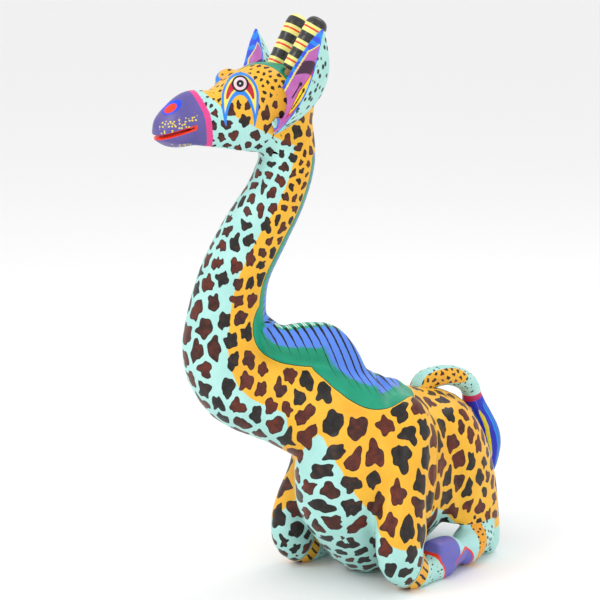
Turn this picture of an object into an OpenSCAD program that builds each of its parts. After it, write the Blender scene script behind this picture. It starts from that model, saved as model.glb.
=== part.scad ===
// Carved and painted wooden giraffe, resting with folded legs.
// It is glued up from blocks of soft wood around hidden dowels, then carved as one figure.
// The ears, horns and tail are carved apart and pushed into sockets, so they pull out for packing.
// Axes: +X is the animal's left, -Y is forward, +Z is up.

/* [Blocks] */
// Thickness of the centre plank that the shoulder and haunch blocks are glued to
plank = 56; // [50:1:60]
// Where the shoulder blocks end and the haunch blocks begin, behind the fore knees
flank_seam = 48; // [42:1:52]

/* [Joinery] */
// Diameter of the two long dowels that pass through the centre plank
body_dowel_d = 10; // [8:1:12]
// Diameter of the dowels in the neck
neck_dowel_d = 12; // [8:1:14]
// Diameter of the small dowels in the folded shins and the tail tuft
small_dowel_d = 6; // [4:1:6]
// Glue gap round a dowel
glue_gap = 0.1; // [0.05:0.05:0.2]
// Radial clearance of the push-in pegs
peg_fit = 0.06; // [0.03:0.01:0.1]

/* [Head] */
// Turn of the head from straight ahead, towards the animal's right
head_turn = 30; // [20:1:40]
// Length of a horn above the crown
horn_len = 52; // [44:1:60]
// Diameter of a horn at the crown
horn_base_d = 16.5; // [14:0.5:18]
// Diameter of a horn near its tip
horn_tip_d = 20; // [17:0.5:21]
// Backward lean of the horns
horn_lean = 31; // [24:1:38]
// Distance of each horn from the middle of the head
horn_apart = 19; // [17:0.5:21]
// Outward splay of the horns
horn_splay = 5; // [0:1:8]
// Greatest width of an ear
ear_wide = 36; // [32:1:42]
// Thickness of an ear
ear_thick = 17; // [12:0.5:19]

/* [Hidden] */
big = 600;
// Moves the drawing so that the origin is under the middle of the overall box
centre = [-22.7, 7.7, 0];

// Each row of a carved form is [x, y, z, half width, height above, depth below]
barrel_rows = [
    [0, -74, 138, 1, 1, 1], [0, -66, 134, 26, 36, 38], [0, -48, 124, 40, 66, 60], [0, -28, 112, 50, 86, 76],
    [0, -8, 104, 55, 84, 90], [0, 12, 98, 57, 80, 99], [0, 30, 94, 58, 79, 95], [0, 52, 90, 58, 77, 82],
    [0, 80, 86, 56, 76, 66], [0, 106, 80, 50, 73, 56], [0, 128, 68, 39, 63, 42], [0, 144, 60, 22, 38, 24],
    [0, 152, 60, 1, 1, 1]];
shoulder_rows = [
    [34, 16, 172, 1, 1, 1], [38, 12, 162, 14, 20, 20], [44, 6, 138, 21, 32, 32], [49, -4, 110, 22, 36, 31],
    [53, -14, 84, 21, 38, 29], [59, -26, 57, 19, 32, 30], [62, -28, 36, 17, 22, 29], [63, -14, 18, 14, 16, 20],
    [63, 2, 10, 12, 12, 13], [63, 16, 11, 11, 11, 12]];
haunch_rows = [
    [30, 84, 156, 1, 1, 1], [34, 84, 144, 15, 22, 22], [44, 84, 118, 20, 34, 34], [48, 90, 88, 21, 38, 40],
    [50, 99, 62, 20, 37, 42], [54, 108, 40, 17, 28, 34], [57, 116, 22, 14, 17, 24], [58, 116, 6, 12, 12, 16],
    [58, 116, -6, 1, 1, 1]];
neck_rows = [
    [2, -6, 146, 36, 48, 44], [-20, -36, 152, 40, 54, 45], [-50, -69, 165, 38, 48, 33], [-77, -90, 183, 37, 44, 37],
    [-88, -99, 214, 35, 38, 39], [-88, -98, 252, 32, 36, 34], [-81, -93, 291, 29, 31, 30],
    [-66, -81, 331, 28, 30, 28], [-52, -70, 360, 27, 26, 27], [-43, -62, 394, 26, 23, 26],
    [-43, -62, 428, 24, 20, 24]];
crest_rows = [
    [-66, -82, 256, 2, 2, 2], [-58, -77, 240, 8, 9, 12], [-46, -74, 233, 9, 9, 18], [-34, -65, 231, 10, 13, 24],
    [-22, -54, 230, 10, 15, 28], [-13, -45, 226, 10, 17, 28], [-6, -33, 210, 10, 17, 26], [-2, -18, 190, 9, 14, 18],
    [0, 0, 178, 9, 11, 14], [0, 20, 174, 9, 9, 10], [0, 44, 169, 8, 8, 8], [0, 58, 166, 1, 1, 1]];
fore_shin_rows = [
    [63, 2, 12, 13, 13, 13], [64, 18, 12, 13, 13, 14], [66, 34, 12, 12, 13, 13], [67, 44, 14, 8, 10, 8],
    [67, 48, 15, 1, 1, 1]];
fore_hoof_rows = [
    [66, 4, 32, 1, 1, 1], [66, 8, 31, 9, 6, 6], [66, 22, 28, 12, 9, 12], [67, 38, 24, 13, 12, 13],
    [67, 52, 16, 11, 11, 10], [67, 58, 13, 1, 1, 1]];
hind_shin_rows = [
    [58, 122, 16, 14, 15, 17], [60, 106, 20, 14, 15, 16], [62, 90, 22, 16, 15, 15], [64, 76, 17, 16, 15, 16],
    [66, 62, 13, 12, 11, 14], [66, 54, 11, 1, 1, 1]];
tail_rows = [
    [-2, 88, 138, 10, 10, 10], [-2, 88, 155, 10, 10, 10], [-1, 93, 165, 10, 10, 10], [3, 108, 168, 10, 10, 10],
    [7, 126, 167, 9.5, 9.5, 9.5], [10, 145, 160, 9.5, 9.5, 9.5], [11, 157, 150, 9.5, 9.5, 9],
    [11, 161, 140, 9, 9, 8.5], [11, 164, 131, 8, 8, 8]];
tuft_rows = [
    [10, 155, 152, 6, 6, 6], [11, 161, 140, 10, 9, 9], [12, 166, 129, 12, 9.5, 9.5],
    [14, 170, 119, 14, 10, 10], [17, 173, 104, 17.5, 11.5, 11.5], [20, 174, 89, 16.5, 11.5, 11.5],
    [23, 174, 74, 10.5, 9, 9], [25, 173, 63, 5, 5, 5], [26, 173, 58, 1, 1, 1]];
// The head is drawn in its own frame, with X forward, and its origin in the middle of the skull
skull_rows = [
    [-44, 0, 2, 1, 1, 1], [-39, 0, 2, 18, 20, 18], [-28, 0, 2, 29, 33, 32], [-10, 0, 1, 35, 41, 38],
    [10, 0, 0, 35, 43, 39], [34, 0, -2, 31, 44, 28], [54, 0, -5, 25, 34, 18], [68, 0, -9, 22, 28, 19],
    [82, 0, -13, 21, 21, 21], [93, 0, -18, 18, 15, 13], [101, 0, -21, 13, 9, 8], [105, 0, -21, 1, 1, 1]];
head_at = [-59, -76, 440];

// Planes that part the blocks: a point on the plane and the direction it faces
neck_base_cut = [[-44, -60, 160], [-0.70, -0.55, 0.45]];
neck_middle_cut = [[-78, -91, 298], [0.27, 0.22, 0.94]];
head_cut = [[-44, -62, 399], [0.10, 0.10, 0.98]];
tuft_cut = [[11, 161, 140], [0.05, 0.36, -0.93]];
// Corner of the notch in a shoulder or haunch block that takes the folded shin: out, back and up
fore_notch = [40, 14, 40];
hind_notch = [36, 106, 40];
// Where the fore hoof stops and the hind foot starts, and the gap between them
hoof_stop = 56;
hoof_gap = 0.2;

// Where each dowel crosses its joint, and half its length
shoulder_dowel_at = [0, -8, 98];
haunch_dowel_at = [0, 84, 84];
body_dowel_half = 48;
fore_dowel_at = [63, 14, 12];
hind_dowel_at = [60, 106, 20];
shin_dowel_half = 12;
neck_dowel_up = 28;
neck_base_dowel_down = 50;
head_dowel_half = 22;
tuft_dowel_half = 10;
tuft_dowel_d = 5;

// Tail socket: its middle, the seat that the tail stands on, the bore round its root, and the peg below it
tail_at = [-2, 88];
tail_seat = 150;
tail_root_d = 20;
tail_peg_d = 10;
tail_peg_len = 24;
tail_gap = 0.4;

// Ear, in the head's frame: a cupped leaf from its root to its tip, on a round peg
ear_root = [6, 34, -20];
ear_tip = [-23, 78, 74];
// Direction in which the open side of each ear faces, before the right one is mirrored
left_ear_faces = [0.95, 0.12, 0.25];
right_ear_faces = [0.95, 0.2, 0.2];
ear_peg_at = [1, 38, -8];
ear_peg_dir = [-0.1, 0.9, 0.42];
ear_peg_d = 8;
ear_peg_len = 22;
ear_stem_d = 13;
ear_gap = 0.3;

// Horn, in the head's frame: the middle of its base, and its peg
horn_root = [-17, 35];
horn_peg_d = 8;
horn_peg_len = 14;
horn_gap = 0.4;

function unit(v) = v / norm(v);
function steps(rows, per_row) = (len(rows) - 1) * per_row;
// Smooth value between the rows of a table, u counted in rows
function between(rows, u) =
    let (n = len(rows) - 1, i = min(floor(u), n - 1), t = u - i,
        a = rows[max(i - 1, 0)], b = rows[i], c = rows[i + 1], d = rows[min(i + 2, n)])
    b + 0.5 * t * (c - a + t * (2 * a - 5 * b + 4 * c - d + t * (3 * (b - c) + d - a)));
function place(row) = [row[0], row[1], row[2]];
// One ring of points round the path, at u, with its width along side
function ring(rows, u, side, sides) =
    let (r = between(rows, u), e = 0.05, n = len(rows) - 1,
        ahead = place(between(rows, min(u + e, n))), behind = place(between(rows, max(u - e, 0))),
        t = unit(ahead - behind), s = unit(side - t * (side * t)), up = cross(s, t))
    [for (k = [0:sides - 1]) let (a = 360 * k / sides)
        place(r) + s * r[3] * cos(a) + up * sin(a) * (sin(a) > 0 ? r[4] : r[5])];
// The same table with every half width, height and depth larger by grow
function grown(rows, grow) = [for (r = rows) [r[0], r[1], r[2], r[3] + grow, r[4] + grow, r[5] + grow]];
// A carved form: rings along a table of rows, closed at both ends
module form(rows, side, sides = 28, per_row = 3) {
    n = steps(rows, per_row);
    rings = [for (i = [0:n]) ring(rows, i / per_row, side, sides)];
    points = [for (r = rings, p = r) p];
    last = n * sides;
    walls = [for (i = [0:n - 1], k = [0:sides - 1]) let (m = (k + 1) % sides,
            a = i * sides + k, b = i * sides + m, c = a + sides, d = b + sides)
        each [[a, b, c], [b, d, c]]];
    ends = [[for (k = [sides - 1:-1:0]) k], [for (k = [0:sides - 1]) last + k]];
    polyhedron(points = points, faces = concat(walls, ends), convexity = 6);
}
// Everything on the side that a cutting plane faces, or behind it
module beyond(cut) {
    d = unit(cut[1]);
    translate(cut[0])
    rotate([0, acos(d[2]), atan2(d[1], d[0])])
    translate([-big / 2, -big / 2, 0])
    cube(big);
}
// A round rod along a direction, from behind a point to ahead of it
module rod(at, direction, d, behind, ahead) {
    way = unit(direction);
    translate(at)
    rotate([0, acos(way[2]), atan2(way[1], way[0])])
    translate([0, 0, -behind])
    cylinder(d = d, h = behind + ahead, $fn = 48);
}
// Draws from the overall origin: the working origin is between the fore knees
module settled() {
    translate(-centre)
    children();
}
module head_frame() {
    translate(head_at)
    rotate([0, 0, -90 - head_turn])
    children();
}
module mirror_if(right) {
    mirror([right ? 1 : 0, 0, 0])
    children();
}
neck_side = [-0.616, 0.788, 0];
crest_side = -neck_side;
module body_form() {
    form(barrel_rows, [1, 0, 0]);
    form(neck_rows, neck_side);
    form(crest_rows, crest_side, sides = 12);
    for (right = [false, true]) mirror_if(right) {
        form(shoulder_rows, [1, 0, 0], sides = 24);
        form(haunch_rows, [1, 0, 0], sides = 24);
    }
}
module floor_trim() {
    translate([-big / 2, -big / 2, -big])
    cube(big);
}
module neck_form() {
    form(neck_rows, neck_side);
    form(crest_rows, crest_side, sides = 12);
}

// Dowels: gap is added to the diameter for the hole, and spare to each end
module body_dowel(at, gap = 0, spare = 0) {
    rod(at, [1, 0, 0], body_dowel_d + 2 * gap, body_dowel_half + spare, body_dowel_half + spare);
}
module shin_dowel(at, right, gap = 0, spare = 0) {
    mirror_if(right)
    rod(at, [0, 1, 0], small_dowel_d + 2 * gap, shin_dowel_half + spare, shin_dowel_half + spare);
}
module base_dowel(gap = 0, spare = 0) {
    rod(neck_base_cut[0], neck_base_cut[1], neck_dowel_d + 2 * gap, neck_base_dowel_down + spare,
        neck_dowel_up + spare);
}
module middle_dowel(gap = 0, spare = 0) {
    rod(neck_middle_cut[0], neck_middle_cut[1], neck_dowel_d + 2 * gap, neck_dowel_up + spare,
        neck_dowel_up + spare);
}
module skull_dowel(gap = 0, spare = 0) {
    rod(head_cut[0], head_cut[1], neck_dowel_d + 2 * gap, head_dowel_half + spare, head_dowel_half + spare);
}
module tuft_rod(gap = 0, spare = 0) {
    rod(tuft_cut[0], tuft_cut[1], tuft_dowel_d + 2 * gap, tuft_dowel_half + spare, tuft_dowel_half + spare);
}

module torso_core() {
    color("goldenrod") settled()
    difference() {
        resize([0, 0, 0])
        difference() {
            intersection() {
                body_form();
                translate([-plank / 2, -big / 2, -big / 2]) cube([plank, big, big]);
            }
            beyond(neck_base_cut);
            difference() {
                form(grown(tail_rows, tail_gap), [1, 0, 0], sides = 16);
                translate([tail_at[0] - 50, tail_at[1] - 50, tail_seat - 100]) cube(100);
            }
            form(grown(tuft_rows, tail_gap), [1, 0, 0], sides = 16);
        }
        floor_trim();
        rod([tail_at[0], tail_at[1], tail_seat], [0, 0, 1], tail_peg_d + 2 * peg_fit, tail_peg_len + 1, 20);
        rod([tail_at[0], tail_at[1], tail_seat], [0, 0, 1], tail_root_d + 2 * tail_gap, 0, 30);
        body_dowel(shoulder_dowel_at, glue_gap, 1);
        body_dowel(haunch_dowel_at, glue_gap, 1);
        base_dowel(glue_gap, 1);
    }
}
module side_block(right, front) {
    difference() {
        resize([0, 0, 0])
        difference() {
            intersection() {
                body_form();
                mirror_if(right)
                translate([plank / 2, front ? flank_seam - big : flank_seam, -big / 2]) cube(big);
            }
            beyond(neck_base_cut);
            mirror_if(right)
            if (front) translate([fore_notch[0], fore_notch[1], -big + fore_notch[2]]) cube(big);
            else translate([hind_notch[0], hind_notch[1] - big, -big + hind_notch[2]]) cube(big);
        }
        floor_trim();
        body_dowel(front ? shoulder_dowel_at : haunch_dowel_at, glue_gap, 1);
        shin_dowel(front ? fore_dowel_at : hind_dowel_at, right, glue_gap, 1);
        if (right && front) base_dowel(glue_gap, 1);
    }
}
module left_shoulder() {
    color("orange") settled() side_block(false, true);
}
module right_shoulder() {
    color("orange") settled() side_block(true, true);
}
module left_haunch() {
    color("gold") settled() side_block(false, false);
}
module right_haunch() {
    color("gold") settled() side_block(true, false);
}
module neck_lower() {
    color("paleturquoise") settled()
    difference() {
        resize([0, 0, 0])
        difference() {
            intersection() {
                neck_form();
                beyond(neck_base_cut);
            }
            beyond(neck_middle_cut);
        }
        base_dowel(glue_gap, 1);
        middle_dowel(glue_gap, 1);
    }
}
module neck_upper() {
    color("lightcyan") settled()
    difference() {
        resize([0, 0, 0])
        difference() {
            intersection() {
                neck_form();
                beyond(neck_middle_cut);
            }
            beyond(head_cut);
        }
        middle_dowel(glue_gap, 1);
        skull_dowel(glue_gap, 1);
    }
}
module ear_peg(right, fit = 0, spare = 0) {
    mirror([0, right ? 1 : 0, 0])
    rod(ear_peg_at, ear_peg_dir, ear_peg_d + 2 * fit, ear_peg_len + spare, spare > 0 ? 20 : -2);
}
module horn_frame(side) {
    translate([horn_root[0], side * horn_apart, horn_root[1]])
    rotate([-side * horn_splay, -horn_lean, 0])
    children();
}
module horn_socket(side) {
    horn_frame(side) {
        translate([0, 0, -horn_peg_len - 1])
        cylinder(d = horn_peg_d + 2 * peg_fit, h = horn_peg_len + 2, $fn = 48);
        translate([0, 0, -0.1])
        cylinder(d = horn_base_d + 2 * horn_gap, h = 30, $fn = 48);
    }
}
module head() {
    color("orange") settled()
    difference() {
        resize([0, 0, 0])
        intersection() {
            union() {
                head_frame() form(skull_rows, [0, 1, 0]);
                form(neck_rows, neck_side);
            }
            beyond(head_cut);
        }
        skull_dowel(glue_gap, 1);
        head_frame() {
            ear_peg(false, peg_fit, 1);
            ear_peg(true, peg_fit, 1);
            horn_socket(1);
            horn_socket(-1);
        }
    }
}
module fore_shin(right) {
    difference() {
        mirror_if(right)
        resize([0, 0, 0])
        difference() {
            union() {
                form(fore_shin_rows, [1, 0, 0], sides = 20);
                form(fore_hoof_rows, [1, 0, 0], sides = 20);
            }
            translate([-big / 2, fore_notch[1] - big, -big / 2]) cube(big);
            translate([-big / 2, hoof_stop, -big / 2]) cube(big);
        }
        floor_trim();
        shin_dowel(fore_dowel_at, right, glue_gap, 1);
    }
}
module left_fore_shin() {
    color("mediumpurple") settled() fore_shin(false);
}
module right_fore_shin() {
    color("mediumpurple") settled() fore_shin(true);
}
module hind_shin(right) {
    difference() {
        mirror_if(right)
        resize([0, 0, 0])
        difference() {
            form(hind_shin_rows, [1, 0, 0], sides = 20);
            translate([-big / 2, hind_notch[1], -big / 2]) cube(big);
            translate([-big / 2, hoof_stop + hoof_gap - big, -big / 2]) cube(big);
        }
        floor_trim();
        shin_dowel(hind_dowel_at, right, glue_gap, 1);
    }
}
module left_hind_shin() {
    color("slateblue") settled() hind_shin(false);
}
module right_hind_shin() {
    color("slateblue") settled() hind_shin(true);
}
// A point on the ear: u along it, v across it from -1 to 1, on its open side or its back
function ear_point(u, v, back, faces) =
    let (axis = unit(ear_tip - ear_root), f = unit(faces - axis * (faces * axis)), w = cross(axis, f),
        half = ear_wide / 2 * pow(sin(180 * pow(u, 0.8)), 0.8) + 1.5,
        cup = 0.55 * half * v * v, bow = 10 * sin(180 * u),
        thick = ear_thick * sin(180 * (u * 0.94 + 0.03)) * (1 - 0.8 * v * v))
    ear_root + (ear_tip - ear_root) * u + w * half * v + f * (cup - bow - (back ? thick : 0));
module ear_leaf(facing) {
    nu = 14;
    nv = 8;
    row_len = nv + 1;
    count = (nu + 1) * row_len;
    front = [for (i = [0:nu], j = [0:nv]) ear_point(i / nu, 2 * j / nv - 1, false, facing)];
    back = [for (i = [0:nu], j = [0:nv]) ear_point(i / nu, 2 * j / nv - 1, true, facing)];
    faces_f = [for (i = [0:nu - 1], j = [0:nv - 1]) let (a = i * row_len + j, b = a + 1, c = a + row_len, d = c + 1)
        each [[a, c, b], [b, c, d]]];
    faces_b = [for (f = faces_f) [f[2] + count, f[1] + count, f[0] + count]];
    rim = concat([for (j = [0:nv]) j], [for (i = [1:nu]) i * row_len + nv],
        [for (j = [nv - 1:-1:0]) nu * row_len + j], [for (i = [nu - 1:-1:1]) i * row_len]);
    edge = [for (k = [0:len(rim) - 1]) let (a = rim[k], b = rim[(k + 1) % len(rim)])
        each [[a, b, a + count], [b, b + count, a + count]]];
    polyhedron(points = concat(front, back), faces = concat(faces_f, faces_b, edge), convexity = 6);
}
module ear(right) {
    head_frame() {
        resize([0, 0, 0])
        difference() {
            mirror([0, right ? 1 : 0, 0])
            union() {
                ear_leaf(right ? right_ear_faces : left_ear_faces);
                rod(ear_peg_at, ear_peg_dir, ear_stem_d, 16, -2);
            }
            form(grown(skull_rows, ear_gap), [0, 1, 0]);
        }
        ear_peg(right);
    }
}
module left_ear() {
    color("orchid") settled() ear(false);
}
module right_ear() {
    color("orchid") settled() ear(true);
}
module horn(side) {
    head_frame()
    horn_frame(side)
    rotate_extrude($fn = 48)
    polygon([[0, -horn_peg_len], [horn_peg_d / 2, -horn_peg_len], [horn_peg_d / 2, 0], [horn_base_d / 2, 0],
        [horn_tip_d / 2, horn_len - 8], [horn_tip_d / 2 - 1, horn_len - 4], [horn_tip_d / 2 - 4, horn_len - 1],
        [0, horn_len]]);
}
module left_horn() {
    color("dimgray") settled() horn(1);
}
module right_horn() {
    color("dimgray") settled() horn(-1);
}
module tail() {
    color("gold") settled() {
        difference() {
            resize([0, 0, 0])
            difference() {
                form(tail_rows, [1, 0, 0], sides = 16);
                translate([tail_at[0] - 50, tail_at[1] - 50, tail_seat - 100]) cube(100);
                beyond(tuft_cut);
            }
            tuft_rod(glue_gap, 1);
        }
        rod([tail_at[0], tail_at[1], tail_seat], [0, 0, 1], tail_peg_d, tail_peg_len, 2);
    }
}
module tail_tuft() {
    color("blue") settled()
    difference() {
        resize([0, 0, 0])
        intersection() {
            form(tuft_rows, [1, 0, 0], sides = 16);
            beyond(tuft_cut);
        }
        tuft_rod(glue_gap, 1);
    }
}
module shoulder_dowel() {
    color("burlywood") settled() body_dowel(shoulder_dowel_at);
}
module haunch_dowel() {
    color("burlywood") settled() body_dowel(haunch_dowel_at);
}
module neck_base_dowel() {
    color("burlywood") settled() base_dowel();
}
module neck_middle_dowel() {
    color("burlywood") settled() middle_dowel();
}
module head_dowel() {
    color("burlywood") settled() skull_dowel();
}
module left_fore_dowel() {
    color("burlywood") settled() shin_dowel(fore_dowel_at, false);
}
module right_fore_dowel() {
    color("burlywood") settled() shin_dowel(fore_dowel_at, true);
}
module left_hind_dowel() {
    color("burlywood") settled() shin_dowel(hind_dowel_at, false);
}
module right_hind_dowel() {
    color("burlywood") settled() shin_dowel(hind_dowel_at, true);
}
module tuft_dowel() {
    color("burlywood") settled() tuft_rod();
}

torso_core();
left_shoulder();
right_shoulder();
left_haunch();
right_haunch();
neck_lower();
neck_upper();
head();
left_fore_shin();
right_fore_shin();
left_hind_shin();
right_hind_shin();
left_ear();
right_ear();
left_horn();
right_horn();
tail();
tail_tuft();
shoulder_dowel();
haunch_dowel();
neck_base_dowel();
neck_middle_dowel();
head_dowel();
left_fore_dowel();
right_fore_dowel();
left_hind_dowel();
right_hind_dowel();
tuft_dowel();
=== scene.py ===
"""Looks of the carved and painted wooden giraffe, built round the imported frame.

The figure is carved here as a distance field: the frame's own blocks are joined, their creases filled and their
facets softened, then the one surface is parted again along the glue planes of the blocks, so that each painted piece
stands for one CAD node. Paint is laid on with fields kept on the vertices and patterns worked out in the materials.
Lengths are in millimetres in the carver's frame, the one part.scad draws in: the origin is between the fore knees,
+X is the animal's left, -Y is forward, +Z is up. They become metres in the row frame when a mesh is made.
"""
import math
import bmesh
import bpy
import numpy as np
import openvdb
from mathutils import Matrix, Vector
from mathutils.kdtree import KDTree


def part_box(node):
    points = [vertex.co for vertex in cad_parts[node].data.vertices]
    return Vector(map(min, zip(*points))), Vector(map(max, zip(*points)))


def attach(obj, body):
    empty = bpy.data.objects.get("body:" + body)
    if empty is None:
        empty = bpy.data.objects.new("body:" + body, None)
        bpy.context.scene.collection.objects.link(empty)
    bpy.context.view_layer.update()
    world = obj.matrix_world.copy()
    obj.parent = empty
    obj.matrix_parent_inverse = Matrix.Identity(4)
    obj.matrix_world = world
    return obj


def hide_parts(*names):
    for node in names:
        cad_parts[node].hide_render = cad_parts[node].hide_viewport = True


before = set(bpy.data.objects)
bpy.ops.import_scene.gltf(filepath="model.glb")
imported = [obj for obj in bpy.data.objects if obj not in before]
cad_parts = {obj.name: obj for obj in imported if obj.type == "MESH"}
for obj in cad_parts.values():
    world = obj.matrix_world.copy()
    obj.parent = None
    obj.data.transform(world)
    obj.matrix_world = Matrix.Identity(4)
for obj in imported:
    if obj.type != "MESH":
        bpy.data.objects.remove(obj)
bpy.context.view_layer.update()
MM = 0.001
FINE = 1.25      # voxel of the figure
FINER = 0.8      # voxel of the ears and the tail


def centre_of(node):
    low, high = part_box(node)
    return (np.array(low) + np.array(high)) / 2


SHOULDER_DOWEL = np.array([0.0, -8.0, 98.0])
ORIGIN = centre_of("shoulder_dowel") / MM - SHOULDER_DOWEL


def unit(v):
    v = np.asarray(v, float)
    return v / np.linalg.norm(v, axis=-1, keepdims=True)


# Joints between the blocks: a point on each glue plane and the way it faces
NECK_BASE_CUT = ((-44, -60, 160), (-0.70, -0.55, 0.45))
NECK_MIDDLE_CUT = ((-78, -91, 298), (0.27, 0.22, 0.94))
HEAD_CUT = ((-44, -62, 399), (0.10, 0.10, 0.98))
TUFT_CUT = ((11, 161, 140), (0.05, 0.36, -0.93))
HALF_PLANK = 28
SWELL = 1.0                             # what the softening wears off
CAP_DEPTHS = (0.02, 0.15, 0.3, 0.45, 0.6, 0.8)
FLANK_SEAM = 48
FORE_NOTCH = (40, 14, 40)
HIND_NOTCH = (36, 106, 40)
HOOF_STOP = 56

# Head frame: X forward, Y left, Z up, from the middle of the skull
HEAD_AT = np.array([-59.0, -76.0, 440.0])
HEAD_TURN = math.radians(-120)
HEAD_AXES = np.array([[math.cos(HEAD_TURN), math.sin(HEAD_TURN), 0],
                      [-math.sin(HEAD_TURN), math.cos(HEAD_TURN), 0], [0, 0, 1]])
EYE = np.array([33.0, 25.5, 24.5])
EYE_FACES = unit((0.36, 0.914, 0.187))

# Middle line of the neck from the withers to the skull, and the way its sides face
NECK_LINE = np.array([(2, -6, 146), (-20, -36, 152), (-50, -69, 165), (-77, -90, 183), (-88, -99, 214),
                      (-88, -98, 252), (-81, -93, 291), (-66, -81, 331), (-52, -70, 360), (-43, -62, 394),
                      (-43, -62, 428)], float)
NECK_SIDE = np.array([-0.616, 0.788, 0])
COAT_TURN = math.radians(82)            # how far round from the mane the yellow coat reaches on the neck
MANE_TURN = math.radians(30)            # and how far the mane does
# Ridge of the crest, and how far down from it the painted mane reaches
RIDGE = np.array([(-60, -76, 249, 16), (-40, -74, 242, 30), (-25, -60, 245, 39), (-12, -44, 243, 38),
                  (-8, -39, 236, 35), (-3, -24, 215, 40), (0, -8, 198, 47), (0, 8, 186, 43), (0, 22, 182, 34),
                  (0, 34, 180, 22), (0, 44, 178, 6)], float)
# Middle line of the tail
TAIL_LINE = np.array([(-2, 88, 145), (-2, 88, 155), (-1, 93, 165), (3, 108, 168), (7, 126, 167), (10, 145, 160),
                      (11, 157, 150), (11, 161, 140), (12, 166, 129), (14, 170, 119), (17, 173, 104), (20, 174, 89),
                      (23, 174, 74), (26, 173, 57)], float)
TAIL_AT = (-2, 88)
TAIL_ROOT_D = 20
TAIL_SEAT = 150
TAIL_PEG_D = 10

# Ears, in the head frame
EAR_ROOT = np.array([6.0, 34.0, -20.0])
EAR_TIP = {"left": np.array([-23.0, 78.0, 74.0]), "right": np.array([-20.0, 78.0, 66.0])}
EAR_FACES = {"left": (0.95, 0.12, 0.25), "right": (0.88, -0.15, 0.28)}
EAR_WIDE, EAR_THICK = 36, 17
EAR_PEG_AT, EAR_PEG_WAY = np.array([1.0, 38.0, -8.0]), unit((-0.1, 0.9, 0.42))
EAR_PEG_D, EAR_PEG_LEN, EAR_STEM_D = 8, 22, 13
# Horns, in the head frame
HORN_ROOT = np.array([-17.0, 19.0, 35.0])
HORN_LEAN, HORN_SPLAY = math.radians(31), math.radians(5)
HORN_LEN, HORN_BASE_D, HORN_TIP_D = 52, 16.5, 20
HORN_PEG_D, HORN_PEG_LEN = 8, 14
PEG_FIT = 0.06

# Brow, the muzzle's back and front, eyeball and chin: middle, radii and fillet
FACE_SWELLS = [((20, 14, 10), (20, 13, 15), 8), ((66, 0, 1), (24, 17, 17), 5), ((84, 0, -11), (20, 13.5, 14), 5),
               (EYE - 10.5 * EYE_FACES, (12, 12, 12), 3), ((84, 0, -23), (17, 13, 9), 6)]
MOUTH_BACK, MOUTH_DROP = (73.5, -13.0), 0.30
NOSTRIL = np.array([92.0, 12.0, 6.0])


def to_metres(points):
    return (np.asarray(points) + ORIGIN) * MM


def to_head(points):
    """Points in the head frame."""
    return (points - HEAD_AT) @ HEAD_AXES.T


def from_head(points):
    return np.asarray(points) @ HEAD_AXES + HEAD_AT


def axes_in_head(x, y, z):
    """The head frame's three coordinates over a box of space."""
    return [a[0] * (x - HEAD_AT[0]) + a[1] * (y - HEAD_AT[1]) + a[2] * (z - HEAD_AT[2]) for a in HEAD_AXES]


def ramp(value, start, end):
    """0 at start, 1 at end, with soft ends."""
    t = np.clip((value - start) / (end - start), 0, 1)
    return t * t * (3 - 2 * t)


def drawn(rows, step=2.0):
    """A smooth line through the rows, with a point every step along it."""
    dense = []
    last = len(rows) - 1
    for i in range(last):
        a, b, c, d = rows[max(i - 1, 0)], rows[i], rows[i + 1], rows[min(i + 2, last)]
        for t in np.linspace(0, 1, 24, endpoint=False):
            dense.append(b + 0.5 * t * (c - a + t * (2 * a - 5 * b + 4 * c - d + t * (3 * (b - c) + d - a))))
    dense = np.array(dense + [rows[-1]])
    far = np.concatenate([[0], np.cumsum(np.linalg.norm(np.diff(dense[:, :3], axis=0), axis=1))])
    even = np.arange(0, far[-1], step)
    return np.stack([np.interp(even, far, dense[:, k]) for k in range(dense.shape[1])], 1)


def nearest(points, line, spare=None):
    """For each point the index of the line's closest point, with spare taken from each distance."""
    best = np.full(len(points), np.inf, np.float32)
    index = np.zeros(len(points), np.int32)
    for k, place in enumerate(line[:, :3]):
        d = np.linalg.norm(points - place, axis=1) - (0 if spare is None else spare[k])
        closer = d < best
        best[closer], index[closer] = d[closer], k
    return index, best


# ---------------------------------------------------------------------------------------------- solids as fields
def node_faces(*names):
    """The corner points, in mm, and the triangles of the named CAD nodes together."""
    points, triangles, count = [], [], 0
    for name in names:
        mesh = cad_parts[name].data
        mesh.calc_loop_triangles()
        p = np.empty(len(mesh.vertices) * 3)
        mesh.vertices.foreach_get("co", p)
        t = np.empty(len(mesh.loop_triangles) * 3, np.int32)
        mesh.loop_triangles.foreach_get("vertices", t)
        points.append(p.reshape(-1, 3) / MM - ORIGIN)
        triangles.append(t.reshape(-1, 3) + count)
        count += len(p) // 3
    return np.concatenate(points), np.concatenate(triangles)


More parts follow.
